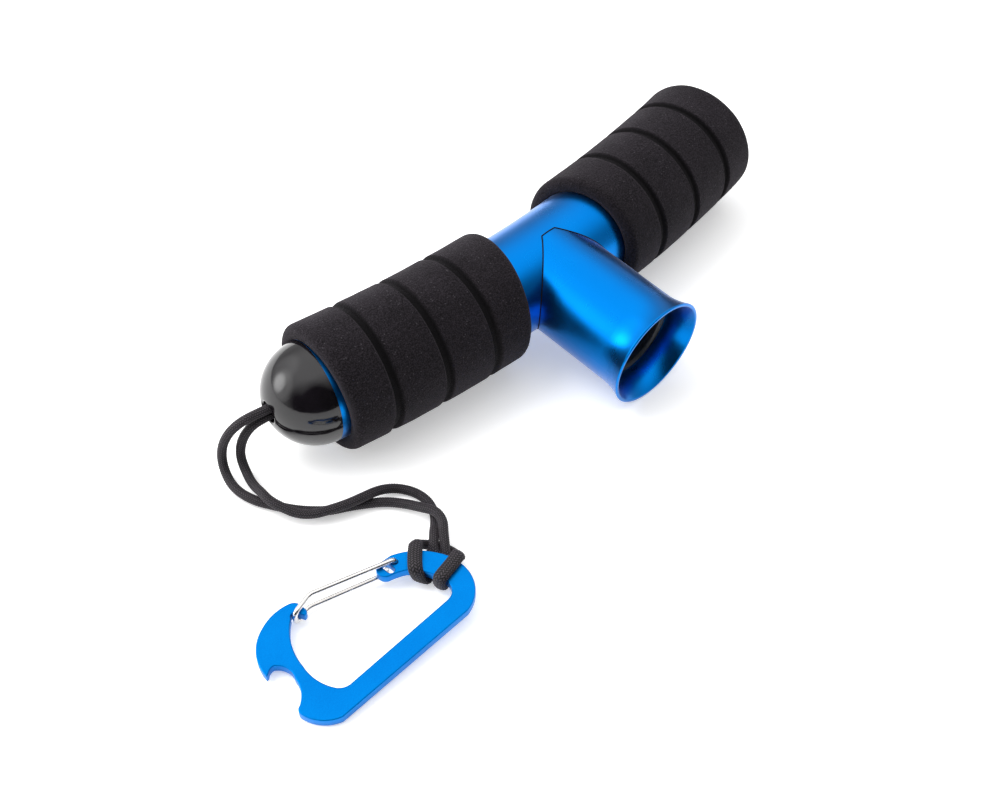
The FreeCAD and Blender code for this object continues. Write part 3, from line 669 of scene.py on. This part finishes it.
def make_grip(name, material):
    """A foam sleeve. Its mesh carries how deep in a groove each point lies, for the material's painted groove
    shade.
    """
    low, high = GRIP_SPANS[name]
    rings = []
    groove_shade_depths = []
    for distance, radius in refined(grip_profile(low, high)):
        ring = []
        for side in range(GRIP_SIDES):
            angle = 2 * math.pi * side / GRIP_SIDES
            here = distance + end_lean(name, (distance - low) / (high - low), angle)
            outside = radius
            if radius > OUTSIDE_RADIUS:
                spot = Vector((here * UNEVEN_ALONG, math.cos(angle) * UNEVEN_AROUND,
                               math.sin(angle) * UNEVEN_AROUND))
                outside += FOAM_UNEVEN * noise.noise(spot * UNEVEN_SCALE)
            drop = 0.0
            if radius >= GRIP_RADIUS - TOLERANCE:
                wander = noise.noise(Vector((here * WANDER_ALONG, angle, WANDER_ROW)))
                drop = groove_drop(here + GROOVE_WANDER * wander)
            groove_shade_depths.append(min(1.0, drop / (0.5 * GROOVE_DEPTH)))
            ring.append(bar_point(here, outside - drop, angle))
        rings.append(ring)
    mesh = ring_mesh(name, rings, wrap=True)
    # The groove attribute sets where the foam material paints shade into the grooves.
    mesh.attributes.new("groove", "FLOAT", "POINT").data.foreach_set("value", groove_shade_depths)
    grip = linked(f"{name}_foam", mesh, material)
    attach(grip, "handle")
    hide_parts(name)


def refined(profile):
    """The profile with extra points in and beside each groove."""
    sign = 1 if profile[0][0] > 0 else -1
    extra = []
    for groove in GROOVES:
        for index in range(-GROOVE_POINTS, GROOVE_POINTS + 1):
            extra.append((sign * groove + index * GROOVE_POINT_STEP, GRIP_RADIUS))
    top = [p for p in profile if p[1] >= GRIP_RADIUS - TOLERANCE]
    first = profile.index(top[0])
    last = profile.index(top[-1])
    clear = [p for p in top if all(abs(abs(p[0]) - groove) > GROOVE_CLEAR for groove in GROOVES)]
    return profile[:first] + sorted(clear + extra) + profile[last + 1:]


# ---------------------------------------------------------------- seam of the stem
STEM_RADIUS = 19.2
STEM_START = 2.1
SEAM_RADIUS = 0.26
SEAM_POINTS, SEAM_SIDES = 180, 8


def make_seam(material):
    """A thin dark tube, a painted shadow of the gap where the stem's coped end meets the cross tube."""
    points = []
    for index in range(SEAM_POINTS):
        angle = 2 * math.pi * index / SEAM_POINTS
        x, z = STEM_RADIUS * math.cos(angle), STEM_RADIUS * math.sin(angle)
        fall = math.sqrt(max(0.0, TUBE_RADIUS ** 2 - z ** 2))
        y = BEND_RADIUS - math.sqrt(BEND_RADIUS ** 2 - x ** 2) - max(STEM_START, fall)
        points.append(Vector((x, y, z)))
    rings = []
    for index, point in enumerate(points):
        tangent = (points[(index + 1) % len(points)] - points[index - 1]).normalized()
        outward = Vector((point.x, 0, point.z)).normalized()
        outward = (outward - tangent * outward.dot(tangent)).normalized()
        other = tangent.cross(outward)
        ring = []
        for side in range(SEAM_SIDES):
            turn = 2 * math.pi * side / SEAM_SIDES
            spot = point + (outward * math.cos(turn) + other * math.sin(turn)) * SEAM_RADIUS
            ring.append((BAR @ spot) * MM)
        rings.append(ring)
    # This dark tube is a painted shadow of the joint's gap.
    seam = linked("stem_seam", ring_mesh("stem_seam", rings, wrap=True), material)
    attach(seam, "handle")


# ---------------------------------------------------------------- carabiner
PLATE_OUTLINE = [
    # (u, v) corner, and a point on the arc that leaves it (none for a straight edge)
    ((26.0, -20.5), None),
    ((-27.5, -20.8), (-33.2, -17.0)),
    ((-36.1, -11.0), (-35.8, -9.4)),
    ((-34.6, -8.5), (-31.2, -5.3)),
    ((-29.4, -0.4), (-29.1, 4.6)),
    ((-31.5, 7.7), (-33.1, 7.5)),
    ((-34.4, 6.6), None),
    ((-35.4, 6.4), (-33.5, 13.6)),
    ((-25.4, 20.7), (-18.6, 22.3)),
    ((-13.4, 21.7), (-11.2, 19.9)),
    ((-10.9, 17.0), (-11.2, 15.3)),
    ((-12.6, 14.8), None),
    ((-13.45, 16.7), (-15.0, 18.15)),
    ((-16.5, 17.0), (-22.2, 10.0)),
    ((-24.8, 1.0), (-24.6, -6.6)),
    ((-22.4, -11.6), (-20.6, -13.2)),
    ((-17.6, -13.8), None),
    ((24.0, -13.0), (27.7, -11.3)),
    ((28.8, -7.6), (27.0, -2.0)),
    ((22.2, 4.4), (19.6, 5.7)),
    ((16.6, 6.7), (14.6, 10.4)),
    ((17.3, 12.8), None),
    ((22.3, 12.4), (28.5, 8.9)),
    ((34.2, 2.4), (36.3, -2.2)),
    ((36.9, -8.0), (34.6, -15.0)),
]
PLATE_EDGE = 0.4
ARC_STEP = 0.5
HOLE_POINTS = 28
PIVOT_HOLE_RADIUS = 1.0
SLOT_HALF_WIDTH, SLOT_EXTRA = 1.3, 0.45
SLOT_END_STEPS = 12
PLATE_CREASE, CAD_CREASE = 30, 32  # degrees


def arc_through(a, via, b):
    """Points from a towards b, b left out, on the arc that passes through via."""
    a, via, b = (np.array(p, float) for p in (a, via, b))
    ca, cb = via - a, b - a
    cross = 2 * (ca[0] * cb[1] - ca[1] * cb[0])
    centre = a + np.array([cb[1] * ca.dot(ca) - ca[1] * cb.dot(cb),
                           ca[0] * cb.dot(cb) - cb[0] * ca.dot(ca)]) / cross
    radius = np.linalg.norm(a - centre)
    start, middle, end = (math.atan2(*(p - centre)[::-1]) for p in (a, via, b))
    sweep = (end - start) % (2 * math.pi)
    if (middle - start) % (2 * math.pi) > sweep:
        sweep -= 2 * math.pi
    count = max(4, math.ceil(abs(sweep) * radius / ARC_STEP))
    return [(centre[0] + radius * math.cos(start + sweep * k / count),
             centre[1] + radius * math.sin(start + sweep * k / count)) for k in range(count)]


def outline_points():
    """The plate's outline, with its arcs cut into short straight steps."""
    points = []
    for index, (corner, via) in enumerate(PLATE_OUTLINE):
        after = PLATE_OUTLINE[(index + 1) % len(PLATE_OUTLINE)][0]
        points += arc_through(corner, via, after) if via else [corner]
    return points


def round_hole(centre, radius):
    turns = [2 * math.pi * k / HOLE_POINTS for k in range(HOLE_POINTS)]
    return [(centre[0] + radius * math.cos(turn), centre[1] + radius * math.sin(turn)) for turn in turns]


def slot_hole():
    """The slot that the gate's second end travels in."""
    turn = math.radians(GATE_OPENING)
    arm = Vector((SECOND_EYE[0] - PIVOT[0], SECOND_EYE[1] - PIVOT[1]))
    opened = Vector(PIVOT) + Matrix.Rotation(turn, 2) @ arm
    closed = Vector(SECOND_EYE)
    ahead = (closed - opened).normalized()
    points = []
    ends = ((closed + ahead * SLOT_EXTRA, ahead), (opened - ahead * SLOT_EXTRA, -ahead))
    for centre, facing in ends:
        for k in range(SLOT_END_STEPS + 1):
            angle = math.pi * (k / SLOT_END_STEPS - 0.5)
            points.append(tuple(centre + Matrix.Rotation(angle, 2) @ facing * SLOT_HALF_WIDTH))
    return points


def make_plate(material):
    """The carabiner's flat plate, with softened edges and the gate's two holes."""
    curve = bpy.data.curves.new("plate", "CURVE")
    curve.dimensions = "2D"
    curve.fill_mode = "BOTH"
    curve.extrude = PLATE_THICKNESS / 2 - PLATE_EDGE
    curve.bevel_depth = PLATE_EDGE
    curve.bevel_resolution = 3
    curve.offset = -PLATE_EDGE
    for loop in (outline_points(), round_hole(PIVOT, PIVOT_HOLE_RADIUS), slot_hole()):
        spline = curve.splines.new("POLY")
        spline.points.add(len(loop) - 1)
        for target, point in zip(spline.points, loop):
            target.co = (point[0], point[1], 0, 1)
        spline.use_cyclic_u = True
    holder = bpy.data.objects.new("plate", curve)
    bpy.context.scene.collection.objects.link(holder)
    bpy.context.view_layer.update()
    mesh = bpy.data.meshes.new_from_object(holder.evaluated_get(bpy.context.evaluated_depsgraph_get()))
    bpy.data.objects.remove(holder)
    mesh.transform(Matrix.Scale(MM, 4) @ PLATE @ Matrix.Translation((0, 0, PLATE_THICKNESS / 2)))
    plate = linked("carabiner_plate", mesh, material)
    smooth_by_angle(plate, PLATE_CREASE)
    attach(plate, "handle")
    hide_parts("carabiner_body")
    return plate


def smooth_by_angle(obj, degrees):
    """Smooth shading that keeps creases sharper than this."""
    mesh = obj.data
    mesh.polygons.foreach_set("use_smooth", [True] * len(mesh.polygons))
    mesh.set_sharp_from_angle(angle=math.radians(degrees))


# ---------------------------------------------------------------- the whole
def finish_nodes():
    """Materials for the CAD nodes that stay in view."""
    blue = anodised("anodised_blue", TUBE_LIGHT, TUBE_DARK, roughness=0.29, grain_contrast=0.12)
    black = gloss_black()
    dark = nylon()
    plain_steel = steel("fastener_steel", STEEL_GREY, roughness=0.28, stretch=(1.0, 0.1, 1.0))
    wire = steel("wire_steel", WIRE_GREY, roughness=0.2, stretch=(0.15, 1.0, 1.0))
    finishes = {
        "cross_tube": blue, "socket_stem": blue,
        "near_end_cap": black, "far_end_cap": black,
        "butt_cup": dark, "saddle_block": dark,
        "gimbal_pin": plain_steel, "stem_bolt": plain_steel, "stem_washer": plain_steel,
        "nut_plate": plain_steel, "carabiner_gate": wire,
    }
    for node, material in finishes.items():
        obj = NODES[node]
        obj.data.materials.clear()
        obj.data.materials.append(material)
        smooth_by_angle(obj, CAD_CREASE)


cord_material = braid()
cord, cord_line = make_lanyard(cord_material)
make_knot(cord_material)
finish_nodes()
foam_material = foam()
for grip_name in GRIP_SPANS:
    make_grip(grip_name, foam_material)
make_seam(seam_shadow())
plate = make_plate(anodised("blasted_blue", PLATE_LIGHT, PLATE_DARK, roughness=0.46, grain_contrast=0.3))


# ---------------------------------------------------------------- floor and light
STUDIO_LEVEL = 0.66
STUDIO_LOWEST = 0.03
FLOOR_GLOW = 0.42
FLOOR_REACH, FLOOR_HEIGHT = 60.0, -0.0003  # metres
STUDIO_LOBES = (
    # direction, where the lobe starts and where it is full (cosines), strength added
    ((0.0, 0.1, 1.0), 0.35, 0.95, 1.0),
    ((-0.35, 0.76, 0.53), 0.84, 0.97, 0.6),
    ((-0.76, 0.55, 0.34), 0.84, 0.97, 1.2),
    ((-0.68, 0.66, 0.32), 0.945, 0.998, 3.8),
    ((-0.18, -0.86, 0.48), 0.60, 0.90, -0.7),
    ((-0.66, -0.60, 0.38), 0.60, 0.88, -0.7),
)


def make_stage():
    """A pale floor under an even white studio: brighter overhead, dim in front of the bench."""
    s = Shader("floor", Roughness=0.85, Specular_IOR_Level=0.2, Emission_Strength=FLOOR_GLOW,
               Emission_Color=WHITE)
    s.link(s.colours(s.noise(3.0), FLOOR_DARK, FLOOR_LIGHT), "Base Color")
    signs = ((-1, -1), (1, -1), (1, 1), (-1, 1))
    corners = [(x * FLOOR_REACH, y * FLOOR_REACH, FLOOR_HEIGHT) for x, y in signs]
    mesh = bpy.data.meshes.new("floor")
    mesh.from_pydata(corners, [], [(0, 1, 2, 3)])
    floor = linked("floor", mesh, s.material)
    world = bpy.data.worlds.new("studio")
    bpy.context.scene.world = world
    world.use_nodes = True
    tree = world.node_tree
    background = tree.nodes["Background"]
    background.inputs["Color"].default_value = WHITE
    direction = tree.nodes.new("ShaderNodeTexCoord").outputs["Generated"]
    level = None
    for lobe, starts, full, strength in STUDIO_LOBES:
        dot = tree.nodes.new("ShaderNodeVectorMath")
        dot.operation = "DOT_PRODUCT"
        tree.links.new(direction, dot.inputs[0])
        dot.inputs[1].default_value = Vector(lobe).normalized()
        ramp = tree.nodes.new("ShaderNodeMapRange")
        ramp.interpolation_type = "SMOOTHSTEP"
        tree.links.new(dot.outputs["Value"], ramp.inputs["Value"])
        for socket, value in (("From Min", starts), ("From Max", full), ("To Max", strength)):
            ramp.inputs[socket].default_value = value
        add = tree.nodes.new("ShaderNodeMath")
        tree.links.new(ramp.outputs["Result"], add.inputs[0])
        add.inputs[1].default_value = STUDIO_LEVEL
        if level is not None:
            tree.links.new(level, add.inputs[1])
        level = add.outputs["Value"]
    held = tree.nodes.new("ShaderNodeMath")
    held.operation = "MAXIMUM"
    tree.links.new(level, held.inputs[0])
    held.inputs[1].default_value = STUDIO_LOWEST
    tree.links.new(held.outputs["Value"], background.inputs["Strength"])


def softbox(name, place, target, size, power):
    """A soft lamp that faces its target and isn't mirrored in the metal. All is in metres and watts."""
    data = bpy.data.lights.new(name, "AREA")
    data.shape = "RECTANGLE"
    data.size, data.size_y = size
    data.energy = power
    lamp = bpy.data.objects.new(name, data)
    lamp.location = place
    lamp.rotation_mode = "QUATERNION"
    lamp.rotation_quaternion = (Vector(target) - Vector(place)).to_track_quat("-Z", "Y")
    lamp.visible_glossy = False
    bpy.context.scene.collection.objects.link(lamp)


make_stage()
softbox("key", place=(-0.35, 0.45, 0.9), target=(0, 0, 0.02), size=(0.7, 0.5), power=6.0)
bpy.context.scene.view_settings.view_transform = "Standard"
